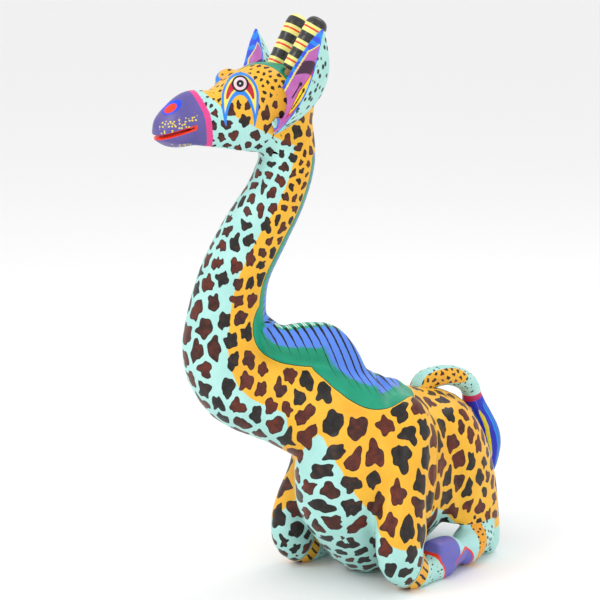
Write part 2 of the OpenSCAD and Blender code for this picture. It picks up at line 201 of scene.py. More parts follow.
class Field:
    """A box of space in which solids are held as distances to their surface, negative inside."""

    def __init__(self, low, high, step):
        self.low, self.step = np.array(low, float), step
        self.shape = tuple(2 * int(n) + 1 for n in np.ceil((np.array(high) - low) / step / 2))
        self.axes = [self.low[a] + step * np.arange(self.shape[a]) for a in range(3)]
        self.x, self.y, self.z = (self.axes[a].reshape([-1 if b == a else 1 for b in range(3)]) for a in range(3))

    def of(self, points, triangles=None, quads=None, reach=8.0):
        kinds = {"triangles": triangles} if quads is None else {"quads": quads}
        grid = openvdb.FloatGrid.createLevelSetFromPolygons(
            np.ascontiguousarray((points - self.low) / self.step, np.float32),
            halfWidth=reach / self.step, **{k: np.ascontiguousarray(v, np.uint32) for k, v in kinds.items()})
        out = np.empty(self.shape, np.float32)
        grid.copyToArray(out)
        return out * self.step

    def surface(self, values, level=0.0):
        grid = openvdb.FloatGrid(float(values.max()))
        grid.copyFromArray(np.ascontiguousarray(values, np.float32))
        points, quads = grid.convertToQuads(isovalue=level)
        return points * self.step + self.low, quads[:, ::-1]

    def filled(self, values, radius):
        """The solid with every crease narrower than a ball of this radius filled in."""
        points, quads = self.surface(values, radius)
        return self.of(points, quads=quads[:, ::-1], reach=radius + 6) + radius

    def at(self, other, values):
        """The values on another box of space, with straight lines between them."""
        for axis in range(3):
            where = np.clip((other.axes[axis] - self.low[axis]) / self.step, 0, self.shape[axis] - 1.001)
            whole = where.astype(int)
            share = (where - whole).reshape([-1 if b == axis else 1 for b in range(3)]).astype(np.float32)
            values = np.take(values, whole, axis) * (1 - share) + np.take(values, whole + 1, axis) * share
        return values

    def sampled(self, values, points):
        """The values at scattered points, with straight lines between them."""
        where = np.clip((points - self.low) / self.step, 0, np.array(self.shape) - 1.001)
        whole = where.astype(int)
        share = where - whole
        out = 0
        for corner in np.ndindex(2, 2, 2):
            out = out + np.prod(np.where(corner, share, 1 - share), axis=1) * values[tuple((whole + corner).T)]
        return out

    def part(self, low, high):
        """The slices that cover a box, and its x, y and z there."""
        cut = [slice(*np.searchsorted(self.axes[a], (low[a], high[a]))) for a in range(3)]
        return tuple(cut), self.x[cut[0]], self.y[:, cut[1]], self.z[:, :, cut[2]]


def soften(values, passes):
    for _ in range(passes):
        for axis in range(3):
            a = np.moveaxis(values, axis, 0)
            a[1:-1] = 0.25 * a[:-2] + 0.5 * a[1:-1] + 0.25 * a[2:]
    return values


def join(a, b, soft):
    """The two solids together, with a soft fillet between them."""
    h = np.clip(0.5 + 0.5 * (b - a) / soft, 0, 1)
    return b + (a - b) * h - soft * h * (1 - h)


def carve(a, b, soft):
    """Solid a with solid b taken out of it."""
    return -join(-a, b, soft)


def egg(x, y, z, at, radii):
    """Distance to an egg-shaped solid."""
    p = [(v - c) for v, c in zip((x, y, z), at)]
    near = np.sqrt(sum((v / r) ** 2 for v, r in zip(p, radii)))
    slope = np.sqrt(sum((v / r ** 2) ** 2 for v, r in zip(p, radii))) + 1e-6
    return near * (near - 1) / slope


def rod(x, y, z, at, way, d, behind, ahead):
    """Distance to a round rod through a point."""
    p = [(v - c) for v, c in zip((x, y, z), at)]
    along = sum(v * w for v, w in zip(p, way))
    out = np.sqrt(np.maximum(sum(v * v for v in p) - along ** 2, 0))
    return np.maximum(out - d / 2, np.maximum(-behind - along, along - ahead))


def horn_way(side):
    """Direction of a horn in the head frame."""
    return np.array([-math.sin(HORN_LEAN) * math.cos(HORN_SPLAY), side * math.sin(HORN_SPLAY),
                     math.cos(HORN_LEAN) * math.cos(HORN_SPLAY)])


STATUE = ["torso_core", "left_shoulder", "right_shoulder", "left_haunch", "right_haunch", "neck_lower", "neck_upper",
          "head", "left_fore_shin", "right_fore_shin", "left_hind_shin", "right_hind_shin"]
DOWELS = ["shoulder_dowel", "haunch_dowel", "neck_base_dowel", "neck_middle_dowel", "head_dowel", "left_fore_dowel",
          "right_fore_dowel", "left_hind_dowel", "right_hind_dowel"]
# Shallow grooves that mark off the foreleg and the thigh from the flank: points as (y, z)
LEG_GROOVES = [[(16, 146), (8, 120), (2, 97), (-4, 80), (-2, 62), (6, 46)], [(58, 140), (60, 101), (66, 70), (68, 52)]]


def groove(y, z, line):
    """Distance from a groove's line, in the plane of the figure's side."""
    best = np.full(np.broadcast(y, z).shape, 99.0, np.float32)
    for (ya, za), (yb, zb) in zip(line, line[1:]):
        along = np.clip(((y - ya) * (yb - ya) + (z - za) * (zb - za)) / ((yb - ya) ** 2 + (zb - za) ** 2), 0, 1)
        best = np.minimum(best, np.hypot(y - ya - along * (yb - ya), z - za - along * (zb - za)))
    return best


def carve_face(field, solid):
    """Brow, eyes, nostrils, mouth and the sockets of the ears and horns."""
    cut, x, y, z = field.part((-145, -195, 392), (0, -5, 500))
    f, l, u = axes_in_head(x, y, z)
    side = np.abs(l)
    head = solid[cut]
    for at, radii, soft in FACE_SWELLS:
        head = join(head, egg(f, side, u, at, radii), soft)
    head = carve(head, egg(f, side, u, NOSTRIL + (2, 2.2, 1.6), (6.5, 3.6, 4.6)), 2.5)
    lips = np.abs(u - MOUTH_BACK[1] + MOUTH_DROP * (f - MOUTH_BACK[0])) - 0.3 - 1.3 * ramp(f, MOUTH_BACK[0], 88)
    head = carve(head, np.maximum(np.maximum(lips, MOUTH_BACK[0] - f), -(head + 3.6)), 0.8)
    head = carve(head, rod(f, side, u, EAR_PEG_AT, EAR_PEG_WAY, EAR_PEG_D + 2 * PEG_FIT, EAR_PEG_LEN + 1, 20), 0.3)
    for s in (1, -1):
        root = HORN_ROOT * (1, s, 1)
        head = carve(head, rod(f, l, u, root, horn_way(s), HORN_PEG_D + 2 * PEG_FIT, HORN_PEG_LEN + 1, 2), 0.3)
        head = carve(head, rod(f, l, u, root, horn_way(s), HORN_BASE_D + 0.8, 0.1, 30), 0.3)
    solid[cut] = head


def carved_statue():
    points, triangles = node_faces(*STATUE, *DOWELS)
    field = Field(points.min(0) - 12, points.max(0) + 12, FINE)
    rough = field.of(points, triangles, reach=12)
    solid = field.filled(rough, 4)
    # The trunk is one swelling mass, so the clefts between its blocks are filled much further
    loose = Field(points.min(0) - 44, points.max(0) + 44, FINE * 2)
    full = loose.filled(loose.of(points, triangles, reach=40), 34)
    full = loose.at(field, full)
    trunk = ramp(field.z, 48, 80) * ramp(field.z, 180, 160) * ramp(field.y, -45, -20)
    solid += (np.minimum(full, solid) - solid) * trunk
    side = ramp(np.abs(field.x), 25, 45)
    for line in LEG_GROOVES:
        solid += 3.2 * np.exp(-(groove(field.y, field.z, line) / 5) ** 2) * side * ramp(field.z, 150, 125)
    solid = soften(solid, 6) - SWELL
    carve_face(field, solid)
    cut, x, y, z = field.part((-20, 55, 110), (15, 105, 200))
    seat_at = (*TAIL_AT, TAIL_SEAT)
    peg_hole = rod(x, y, z, seat_at, (0, 0, 1), TAIL_PEG_D + 2 * PEG_FIT, 25, 20)
    seat = rod(x, y, z, seat_at, (0, 0, 1), TAIL_ROOT_D + 0.8, 0, 40)
    solid[cut] = carve(solid[cut], np.minimum(peg_hole, seat), 0.3)
    return field, np.maximum(solid, -field.z)


# ---------------------------------------------------------------------------------------------------------- meshes
def new_object(name, points, faces, attributes=None):
    mesh = bpy.data.meshes.new(name)
    sides = faces.shape[1]
    mesh.vertices.add(len(points))
    mesh.vertices.foreach_set("co", to_metres(points).ravel())
    mesh.loops.add(faces.size)
    mesh.loops.foreach_set("vertex_index", np.ascontiguousarray(faces, np.int32).ravel())
    mesh.polygons.add(len(faces))
    mesh.polygons.foreach_set("loop_start", np.arange(0, faces.size, sides, dtype=np.int32))
    for key, values in (attributes or {}).items():
        kind, slot = ("FLOAT", "value") if values.ndim == 1 else ("FLOAT_VECTOR", "vector")
        mesh.attributes.new(key, kind, "POINT").data.foreach_set(slot, np.ascontiguousarray(values, np.float32).ravel())
    mesh.update(calc_edges=True)
    mesh.polygons.foreach_set("use_smooth", np.ones(len(faces), bool))
    piece = bpy.data.objects.new(name, mesh)
    bpy.context.scene.collection.objects.link(piece)
    return piece


def point_normals(points, quads):
    n = np.cross(points[quads[:, 2]] - points[quads[:, 0]], points[quads[:, 3]] - points[quads[:, 1]])
    out = np.zeros_like(points)
    for k in range(4):
        np.add.at(out, quads[:, k], n)
    return out / (np.linalg.norm(out, axis=1, keepdims=True) + 1e-9)


# ----------------------------------------------------------------------------------------------------------- paint
def along_neck(points):
    """Distance along the neck, turn round it from the mane, and distance from its middle line."""
    line = drawn(NECK_LINE)
    index, _ = nearest(points, line)
    ahead = unit(np.gradient(line, axis=0))[index]
    up = np.cross(NECK_SIDE, ahead)
    off = points - line[index]
    turn = np.arctan2(off @ NECK_SIDE, np.einsum("ij,ij->i", off, up))
    return index * 2.0, turn, np.linalg.norm(off, axis=1)


def past(points, plane):
    return (points - np.array(plane[0], float)) @ unit(plane[1])


def coat_side(points, turn, out):
    """Signed distance to the line between the mint front (negative) and the yellow coat."""
    x, y, z = np.abs(points[:, 0]), points[:, 1], points[:, 2]
    on_neck = (np.abs(turn) * -1 + COAT_TURN) * out
    low = z + 22 * ramp(y, 35, 75)
    front = np.interp(low, (40, 46, 59, 75, 97, 118, 138, 150, 162, 175), (85, 76, 58, 43, 34, 26, 9, -2, -14, -24))
    on_body = (x - front) * 0.75
    h = to_head(points)
    cheek = np.interp(h[:, 0], (-50, -9, 6, 15, 37, 48, 60, 66, 110), (-31, -31, -21, -17, -5, 2, 16, 30, 70))
    on_head = (h[:, 2] - cheek) * 0.85
    neck = ramp(past(points, NECK_BASE_CUT), -16, 10)
    head = ramp(past(points, HEAD_CUT), 2, 16)
    return (on_body * (1 - neck) + on_neck * neck) * (1 - head) + on_head * head


def mane(points, far, turn, out):
    """Signed distance to the mane's edge, height in it from 0 at the edge to 1 at the ridge, and distance along it."""
    ridge = drawn(RIDGE)
    index, edge = nearest(points, ridge, ridge[:, 3])
    tall = -edge / ridge[index, 3]
    along = points @ (0.45, 0.89, 0.45)
    on_neck = (np.abs(turn) - MANE_TURN) * out
    neck = ramp(past(points, NECK_BASE_CUT), 40, 60) * ramp(points[:, 2], 236, 246)
    edge = edge + (np.minimum(on_neck, edge) - edge) * neck
    tall = np.where(neck > 0.5, 1 - np.abs(turn) / MANE_TURN, tall)
    along = np.where(neck > 0.5, far + 16 * np.abs(turn), along)
    h = to_head(points)
    peak = 24 * (np.clip(30 - h[:, 0], 0, 40) / 38) ** 2 - 0.6
    crown = np.maximum(np.maximum(np.abs(h[:, 1]) - np.minimum(peak, 27), 22 - h[:, 2]), h[:, 0] - 30)
    back = np.maximum(np.abs(h[:, 1]) - 14, h[:, 0] + 14)
    head = ramp(past(points, HEAD_CUT), 0, 8)
    edge = edge * (1 - head) + np.minimum(crown, back) * head
    return edge, np.clip(tall, 0, 1), along


def spot_layout(points, turn):
    """How far apart the spots are, how big they are against that, and the way they are drawn out."""
    x, y, z = np.abs(points[:, 0]), points[:, 1], points[:, 2]
    h = to_head(points)
    neck = ramp(past(points, NECK_BASE_CUT), -16, 10)
    head = ramp(past(points, HEAD_CUT), 2, 12)
    legs = ramp(z, 55, 25)
    apart = 23.5 - 7.5 * ramp(y, 30, 80) - 7.5 * legs - 3.5 * ramp(x, 30, 0) * ramp(z, 110, 60)
    on_neck = np.interp(z, (170, 220, 260, 300, 350, 400), (21, 22, 20, 17, 13.5, 11))
    on_neck *= 1 - 0.22 * ramp(np.abs(turn), 1.5, 1.2)
    on_head = 6.5 + 7.0 * ramp(h[:, 2], 16, -6) - 2.5 * ramp(h[:, 0], 40, 60)
    apart = (apart * (1 - neck) + on_neck * neck) * (1 - head) + on_head * head
    way = np.tile((0.0, 0.25, 1.0), (len(points), 1))
    chest = (ramp(x, 45, 20) * ramp(z, 150, 120) * (1 - neck))[:, None]
    way = way * (1 - chest) + np.array((1.0, 0.3, 0)) * chest
    return apart, way


def spots(points, normals, apart, way, free, seed=7):
    """Irregular lobed spots, each painted on its own: signed distance to their edges, and a tone for each."""
    rng = np.random.default_rng(seed)
    order = rng.permutation(np.flatnonzero(free))[:26000]
    places, gaps, picked = np.empty((5000, 3)), np.empty(5000), []
    for i in order:
        n = len(picked)
        if n and ((np.linalg.norm(places[:n] - points[i], axis=1)) < 0.39 * (gaps[:n] + apart[i])).any():
            continue
        places[n], gaps[n] = points[i], apart[i]
        picked.append(i)
    edge, second = np.full(len(points), 9.0), np.full(len(points), 9.0)
    tone = np.zeros(len(points))
    for i in picked:
        size = apart[i] * rng.uniform(0.37, 0.50) * (0.84 + 0.16 * ramp(apart[i], 7, 12))
        stretch = rng.uniform(1.0, 1.32)
        off = points - points[i]
        near = np.flatnonzero((np.abs(off) < 2.4 * size + 6).all(1) & (normals @ normals[i] > -0.1))
        off = off[near]
        e1 = unit(way[i] - normals[i] * (way[i] @ normals[i]) + rng.normal(0, 0.12, 3))
        e2 = np.cross(normals[i], e1)
        a, b = off @ e1 / stretch, off @ e2 * stretch
        turn = np.arctan2(b, a)
        outline = 1.0 + sum(amp * np.cos(k * turn + rng.uniform(0, 6.28)) for k, amp in
                            ((2, rng.uniform(0, 0.12)), (3, rng.uniform(0.05, 0.19)), (4, rng.uniform(0.04, 0.16)),
                             (5, rng.uniform(0.03, 0.14)), (7, rng.uniform(0.0, 0.08))))
        d = np.hypot(a, b) - size * outline
        old = edge[near]
        second[near] = np.minimum(second[near], np.maximum(d, old))
        better = d < old
        edge[near[better]] = d[better]
        tone[near[better]] = rng.choice((0.0, 0.12, 0.5, 0.85, 1.0))
    # Neighbours never touch: a line of the coat is left between them
    return np.maximum(edge, 1.1 + 0.055 * apart - (second - edge) / 2), tone


def statue_paint(points, normals):
    far, turn, out = along_neck(points)
    edge, tall, along = mane(points, far, turn, out)
    h = to_head(points)
    apart, way = spot_layout(points, turn)
    muzzle = h[:, 0] > 63 + 0.3 * h[:, 2]
    eye = h - EYE
    eye[:, 1] = np.abs(h[:, 1]) - EYE[1]
    in_eye = (np.linalg.norm(eye + (0, 0, 8), axis=1) < 19) & (eye[:, 2] > -18)
    on_head = past(points, HEAD_CUT) > 8
    x, y, z = np.abs(points[:, 0]), points[:, 1], points[:, 2]
    feet = (x > 46) & (z < 36) & (y > -16)
    free = (edge > apart * 0.36) & ~(on_head & (muzzle | in_eye)) & ~feet & (z > 3)
    spot, tone = spots(points, normals, apart, way, free)
    x, y, z = h.T
    rods = [rod(x, np.abs(y), z, EAR_PEG_AT, EAR_PEG_WAY, EAR_PEG_D + 1, EAR_PEG_LEN + 3, -4)]
    for s in (1, -1):
        root = HORN_ROOT * (1, s, 1)
        rods.append(rod(x, y, z, root, horn_way(s), HORN_PEG_D + 1, HORN_PEG_LEN + 3, 1))
        rods.append(rod(x, y, z, root, horn_way(s), HORN_BASE_D + 1.6, 1, 2.5))
    rods.append(rod(*points.T, (*TAIL_AT, TAIL_SEAT), (0, 0, 1), TAIL_ROOT_D + 1.6, 27, 5))
    return {"side": coat_side(points, turn, out), "spot": spot, "tone": tone, "mane": edge, "tall": tall,
            "along": along, "face": h, "bare": np.minimum.reduce(rods), "facing": normals}


# -------------------------------------------------------------------------------------------------------- materials
def rgb(r, g, b):
    """A paint's colour from its sRGB bytes."""
    return tuple(0.86 * ((c + 0.055) / 1.055) ** 2.4 for c in (r / 255, g / 255, b / 255)) + (1,)


YELLOW, AMBER = rgb(255, 199, 58), rgb(248, 170, 34)
MINT, MINT_SHADE = rgb(192, 242, 234), rgb(158, 222, 214)
BLACK, SOFT_BLACK, BROWN, RUST = rgb(24, 20, 19), rgb(50, 44, 37), rgb(80, 28, 18), rgb(118, 46, 25)
TEAL, TEAL_LIGHT, PERIWINKLE, WHITE = rgb(0, 148, 112), rgb(40, 180, 140), rgb(92, 142, 246), rgb(226, 246, 240)
PURPLE, PURPLE_DARK, PINK = rgb(112, 98, 172), rgb(84, 78, 146), rgb(236, 72, 148)
BLUE, ORANGE_RED, GOLD = rgb(28, 80, 240), rgb(252, 60, 24), rgb(252, 226, 40)
SKY, PALE_YELLOW, CRIMSON, ROSE = rgb(44, 140, 240), rgb(252, 236, 96), rgb(202, 30, 60), rgb(248, 214, 226)
MAUVE, MAUVE_DEEP, ROYAL, AZURE = rgb(208, 122, 198), rgb(176, 84, 168), rgb(52, 88, 238), rgb(36, 146, 250)
LEMON, HORN_BLACK, HORN_GREY = rgb(250, 244, 140), rgb(38, 36, 34), rgb(78, 76, 72)
HOOF_BLUE, HOOF_LILAC, AQUA = rgb(98, 110, 204), rgb(132, 112, 190), rgb(168, 228, 232)
TUFT_BLUE, TUFT_STREAK, TUFT_YELLOW = rgb(28, 34, 196), rgb(30, 120, 214), rgb(242, 230, 60)
WOOD, WOOD_DARK = rgb(214, 178, 128), rgb(170, 124, 78)


class Sum:
    """A number worked out by a material's nodes."""

    def __init__(self, paint, socket):
        self.paint, self.socket = paint, socket

    def __add__(self, other): return self.paint.math("ADD", self, other)
    def __radd__(self, other): return self.paint.math("ADD", other, self)
    def __sub__(self, other): return self.paint.math("SUBTRACT", self, other)
    def __rsub__(self, other): return self.paint.math("SUBTRACT", other, self)
    def __mul__(self, other): return self.paint.math("MULTIPLY", self, other)
    def __rmul__(self, other): return self.paint.math("MULTIPLY", other, self)
    def __truediv__(self, other): return self.paint.math("DIVIDE", self, other)
    def __neg__(self): return self.paint.math("MULTIPLY", self, -1.0)
    def __abs__(self): return self.paint.math("ABSOLUTE", self)


class Paint:
    """A material put together from layers of paint over a base."""

    def __init__(self, name, roughness=0.4, coat=0.06):
        self.material = bpy.data.materials.new(name)
        self.material.use_nodes = True
        self.tree = self.material.node_tree
        self.shader = self.tree.nodes["Principled BSDF"]
        self.shader.inputs["Roughness"].default_value = roughness
        self.shader.inputs["Coat Weight"].default_value = coat
        self.shader.inputs["Specular IOR Level"].default_value = 0.3
        self.shader.inputs["Coat Roughness"].default_value = 0.25
        self.place = self.tree.nodes.new("ShaderNodeTexCoord").outputs["Object"]

    def put(self, value, socket):
        if isinstance(value, Sum):
            value = value.socket
        if isinstance(value, bpy.types.NodeSocket):
            self.tree.links.new(value, socket)
        else:
            socket.default_value = value

    def math(self, kind, *values, clamp=False):
        node = self.tree.nodes.new("ShaderNodeMath")
        node.operation, node.use_clamp = kind, clamp
        for value, socket in zip(values, node.inputs):
            self.put(value, socket)
        return Sum(self, node.outputs[0])

    def least(self, *values):
        out = values[0]
        for v in values[1:]:
            out = self.math("MINIMUM", out, v)
        return out

    def most(self, *values):
        out = values[0]
        for v in values[1:]:
            out = self.math("MAXIMUM", out, v)
        return out

    def root(self, a):
        return self.math("SQRT", self.most(a, 0.0))

    def length(self, a, b):
        return self.root(a * a + b * b)

    def inside(self, distance, soft=0.35):
        """1 where a signed distance is negative."""
        return self.math("MULTIPLY_ADD", distance, -1 / soft, 0.5, clamp=True)

    def band(self, value, start, end, soft=0.35):
        return self.inside(self.most(start - value, value - end), soft)

    def field(self, name):
        node = self.tree.nodes.new("ShaderNodeAttribute")
        node.attribute_name = name
        return Sum(self, node.outputs["Fac"])

    def parts(self, source):
        """Three numbers from a vector attribute's name or a vector socket."""
        if isinstance(source, str):
            node = self.tree.nodes.new("ShaderNodeAttribute")
            node.attribute_name = source
            source = node.outputs["Vector"]
        split = self.tree.nodes.new("ShaderNodeSeparateXYZ")
        self.put(source, split.inputs[0])
        return [Sum(self, s) for s in split.outputs]

    def vector(self, *values):
        node = self.tree.nodes.new("ShaderNodeCombineXYZ")
        for value, socket in zip(values, node.inputs):
            self.put(value, socket)
        return node.outputs[0]

    def noise(self, per_mm, detail=3.0, where=None, rough=0.55, stretch=None):
        """Soft noise from -1 to 1, as fine as per_mm says."""
        where = self.place if where is None else where
        if stretch is not None:
            scale = self.tree.nodes.new("ShaderNodeMapping")
            self.put(where, scale.inputs["Vector"])
            scale.inputs["Scale"].default_value = stretch
            where = scale.outputs[0]
        node = self.tree.nodes.new("ShaderNodeTexNoise")
        self.put(where, node.inputs["Vector"])
        node.inputs["Scale"].default_value = per_mm / (MM if where is self.place or stretch is not None else 1)
        node.inputs["Detail"].default_value = detail
        node.inputs["Roughness"].default_value = rough
        return Sum(self, node.outputs["Fac"]) * 2.0 - 1.0

    def dots(self, where, jitter=0.8):
        """Distance to scattered points, one in each unit cell of a vector."""
        node = self.tree.nodes.new("ShaderNodeTexVoronoi")
        self.put(where, node.inputs["Vector"])
        node.inputs["Scale"].default_value = 1.0
        node.inputs["Randomness"].default_value = jitter
        return Sum(self, node.outputs["Distance"])

    def over(self, mask, under, colour):
        node = self.tree.nodes.new("ShaderNodeMix")
        node.data_type = "RGBA"
        self.put(mask, node.inputs["Factor"])
        self.put(under, node.inputs["A"])
        self.put(colour, node.inputs["B"])
        return node.outputs["Result"]

    def lay(self, base, colour, distance, soft=0.35):
        """The colour painted over the base where a signed distance is negative."""
        return self.over(self.inside(distance, soft), base, colour)

    def clouded(self, one, two, noise, gain, middle):
        """One paint that runs into another where the noise is high."""
        return self.over(self.math("MULTIPLY_ADD", noise, gain, middle, clamp=True), one, two)

    def finish(self, colour, relief=None, strength=0.25):
        """The colour, with brush marks and the carved wood's slight unevenness as relief."""
        self.put(colour, self.shader.inputs["Base Color"])
        marks = self.noise(0.9, 4.0, stretch=(1.0, 1.0, 0.35)) * 0.5 + self.noise(0.12, 2.0) * 1.2
        if relief is not None:
            marks = marks + relief
        bump = self.tree.nodes.new("ShaderNodeBump")
        bump.inputs["Strength"].default_value = strength
        bump.inputs["Distance"].default_value = 0.25 * MM
        self.put(marks, bump.inputs["Height"])
        self.put(bump.outputs[0], self.shader.inputs["Normal"])
        return self.material


def wood_colour(p):
    grain = p.noise(0.25, 5.0, stretch=(1.0, 1.0, 0.12))
    return p.clouded(WOOD, WOOD_DARK, grain, 0.9, 0.45)


def coat(p):
    """Yellow back, mint front and the spots over both."""
    wobble = p.noise(0.35, 2.0) * 0.8
    cloud = p.noise(0.03, 3.0)
    brush = p.noise(0.8, 3.0, stretch=(1.0, 1.0, 0.3))
    tint = p.math("MULTIPLY_ADD", cloud * 0.7 + brush * 0.35, 1.0, 0.35, clamp=True)
    yellow = p.over(tint, YELLOW, AMBER)
    mint = p.over(tint, MINT, MINT_SHADE)
    base = p.lay(yellow, mint, p.field("side") + wobble)
    spot = p.field("spot") + wobble * 0.55
    mottle = p.noise(0.16, 3.0)
    tone = p.math("MULTIPLY_ADD", p.field("tone") * 1.25 + mottle * 0.55 - 0.1, 1.0, 0.0, clamp=True)
    dark = p.lay(BLACK, SOFT_BLACK, mottle * -1.0 + 0.15, 0.8)
    brown = p.lay(BROWN, RUST, mottle * -1.0 + 0.1, 0.9)
    fill = p.over(tone, dark, brown)
    fill = p.over(p.inside(abs(spot + 0.1) - 0.75, 0.9) * 0.8, fill, BLACK)
    return p.lay(base, fill, spot), p.inside(spot, 0.8) * 0.5


def mane_layer(p, base):
    """Teal mane with a black edge, a periwinkle middle and slanting tapered strokes."""
    wobble = p.noise(0.35, 2.0)
    edge = p.field("mane") + wobble * 0.3
    tall = p.field("tall")
    lean = p.field("along") + wobble * 0.6
    step = abs(p.math("FRACT", lean / 7.2) - 0.5) * 7.2
    teal = p.clouded(TEAL, TEAL_LIGHT, p.noise(0.05, 3.0), 0.5, 0.3)
    band = p.band(tall + p.noise(0.2, 2.0) * 0.05, 0.42, 0.84, 0.06)
    colour = p.over(band, teal, PERIWINKLE)
    stroke = p.inside(step - (tall - 0.22) * 2.1, 0.4) * p.band(tall, 0.2, 0.93, 0.05)
    colour = p.over(stroke, colour, BLACK)
    glint = p.inside(abs(step - 2.6) - 0.6, 0.5) * p.inside(0.9 - tall, 0.04)
    colour = p.over(glint, colour, WHITE)
    base = p.lay(base, YELLOW, edge - 1.7)
    base = p.lay(base, BLACK, edge - 0.7)
    return p.lay(base, colour, edge)


def feet_layers(p, base):
    """Painted bands, pasterns and hooves of the folded feet."""
    x, y, z = (v / MM - o for v, o in zip(p.parts(p.place), ORIGIN))
    wobble = p.noise(0.3, 2.0) * 0.7
    back = y + wobble
    limb = p.most(44.0 - abs(x), z - 38.0)
    lilac = p.clouded(HOOF_BLUE, HOOF_LILAC, p.noise(0.07, 3.0), 0.9, 0.4)
    mint = p.clouded(MINT, MINT_SHADE, p.noise(0.06, 3.0), 0.9, 0.4)
    # Fore foot: a banded cuff behind the knee, a dashed pastern and the hoof
    cuff = back - (z - 33.0) * 0.5
    fore = p.inside(p.most(limb, -18.5 - cuff, back - 40.0))
    base = p.over(fore, base, mint)
    base = p.over(fore * p.inside(p.most(-17.6 - cuff, cuff + 16.6)), base, BLACK)
    banded = fore * p.band(cuff, -16.0, 2.5)
    base = p.over(banded, base, p.lay(YELLOW, AMBER, p.noise(0.1, 2.0), 0.8))
    strokes = abs(p.math("FRACT", (z + cuff * 0.55 + wobble) / 6.4) - 0.5) * 6.4 - 1.0
    base = p.over(fore * p.inside(p.most(strokes, abs(cuff + 6.5) - 7.5)), base, BLACK)
    dashes = p.dots(p.vector(x / 3.4, cuff / 6.0, z / 3.4)) - 0.27
    base = p.over(fore * p.inside(p.most(dashes, 4.0 - cuff), 0.1), base, BROWN)
    bead = p.length(back - 9.0, z - 30.0)
    base = p.over(fore * p.inside(bead - 4.2), base, BLUE)
    base = p.over(fore * p.inside(bead - 2.8), base, TUFT_YELLOW)
    nail = back + z * 0.42 - 23.0
    base = p.over(fore * p.inside(-nail), base, lilac)
    base = p.over(fore * p.inside(abs(nail) - 1.1), base, ORANGE_RED)
    # Hind foot: the hock, a spotted cuff, a long pastern and the hoof tucked under it
    hind = p.inside(p.most(limb, 40.0 - back, back - 112.0))
    base = p.over(hind, base, mint)
    base = p.over(hind * p.inside(p.dots(p.vector(x / 4.5, y / 6.5, z / 6.5)) - 0.3, 0.1), base, BLACK)
    cuff = back - z * 0.3
    banded = hind * p.band(cuff, 67.0, 80.0)
    base = p.over(banded, base, AMBER)
    base = p.over(banded * p.inside(p.dots(p.vector(x / 4.2, cuff / 5.5, z / 3.0)) - 0.32, 0.1), base, BLACK)
    pale = p.clouded(AQUA, MINT, p.noise(0.05, 3.0), 0.9, 0.4)
    base = p.over(hind * p.inside(cuff - 67.0), base, pale)
    arch = (p.length((back - 50.5) / 15.0, (z - 3.0) / 20.0) - 1.0) * 16.0
    toe = p.most(limb, 36.0 - back)
    base = p.lay(base, ORANGE_RED, p.most(toe, arch - 1.8))
    return p.lay(base, lilac, p.most(toe, arch))


def face_layers(p, base):
    """Eyes, muzzle, nostrils and mouth, laid out in the head's frame in mm."""
    f, l, u = p.parts("face")
    f = f - p.inside(u + 38.0) * 300.0
    side = abs(l)
    wobble = p.noise(0.3, 2.0) * 0.35
    # The eye is laid out flat: back runs towards the ear, up runs to the crown
    flat = [f - EYE[0], side - EYE[1], u - EYE[2]]
    back_way = unit((-EYE_FACES[1], EYE_FACES[0], 0))
    up_way = np.cross(EYE_FACES, -back_way)
    up_way = up_way * np.sign(up_way[2])
    back = sum((v * float(w) for v, w in zip(flat, back_way)), start=wobble * 0.6)
    up = sum((v * float(w) for v, w in zip(flat, up_way)), start=wobble * 0.6)
    below = p.least(up + 12.0, 0.0)
    outer = (p.length(back / (15.4 - below * below * 0.0052), p.most(up + 12.0, 0.0) / 21.2) - 1.0) * 15.5
    inner = (p.length(back / 12.9, (up + 38.0) / 30.2) - 1.0) * 14.0
    low = -37.0 - up
    base = p.lay(base, SKY, p.most(outer - 1.0, -inner - 1.0, low))
    base = p.lay(base, PALE_YELLOW, p.most(outer + 1.2, -inner + 1.2, low))
    triangles = p.most(outer + 3.0, -inner + 2.2, -13.5 - up, up - 3.0)
    base = p.lay(base, CRIMSON, triangles)
    ring = p.length(back, up)
    for radius, colour in ((7.4, BLACK), (5.7, ROSE), (3.2, BLACK), (0.8, WHITE)):
        base = p.lay(base, colour, ring - radius)
    # The muzzle in front of the pink band
    front = f - 66.0 - p.most(u * 0.16, u * 0.36) + wobble
    base = p.lay(base, PINK, -5.4 - front)
    shade = p.math("MULTIPLY_ADD", p.noise(0.05, 3.0), 0.8, 0.45, clamp=True)
    base = p.lay(base, p.over(shade, PURPLE, PURPLE_DARK), -front)
    line = u - MOUTH_BACK[1] + (f - MOUTH_BACK[0]) * MOUTH_DROP
    dot = p.dots(p.vector(f / 2.9, u / 2.6, side / 2.9), 0.7)
    dotted = p.most(abs(line - 7.5) - 5.5, abs(f - 87.0) - 15.5)
    chin = p.most(abs(u + 32.0) - 4.5, abs(f - 84.0) - 9.0)
    base = p.lay(base, GOLD, p.most(dot - 0.31, p.least(dotted, chin) * 0.1), 0.08)
    nose = [f - NOSTRIL[0], side - NOSTRIL[1], u - NOSTRIL[2]]
    ahead = nose[0] * 0.9 + nose[2] * 0.3 - nose[1] * 0.3
    rise = nose[2] * 0.8 - nose[1] * 0.55 - nose[0] * 0.15
    base = p.lay(base, BLUE, (p.length((ahead + 1.0) / 7.2, (rise - 1.2) / 7.6) - 1.0) * 7.0)
    base = p.lay(base, ORANGE_RED, (p.length(ahead / 4.6, rise / 4.8) - 1.0) * 4.6)
    lip = p.most(abs(line + 0.2) - 2.3, MOUTH_BACK[0] - 1.5 - f)
    base = p.lay(base, ORANGE_RED, lip)
    return p.lay(base, rgb(120, 12, 10), p.most(abs(line) - 0.8, MOUTH_BACK[0] + 1.0 - f))


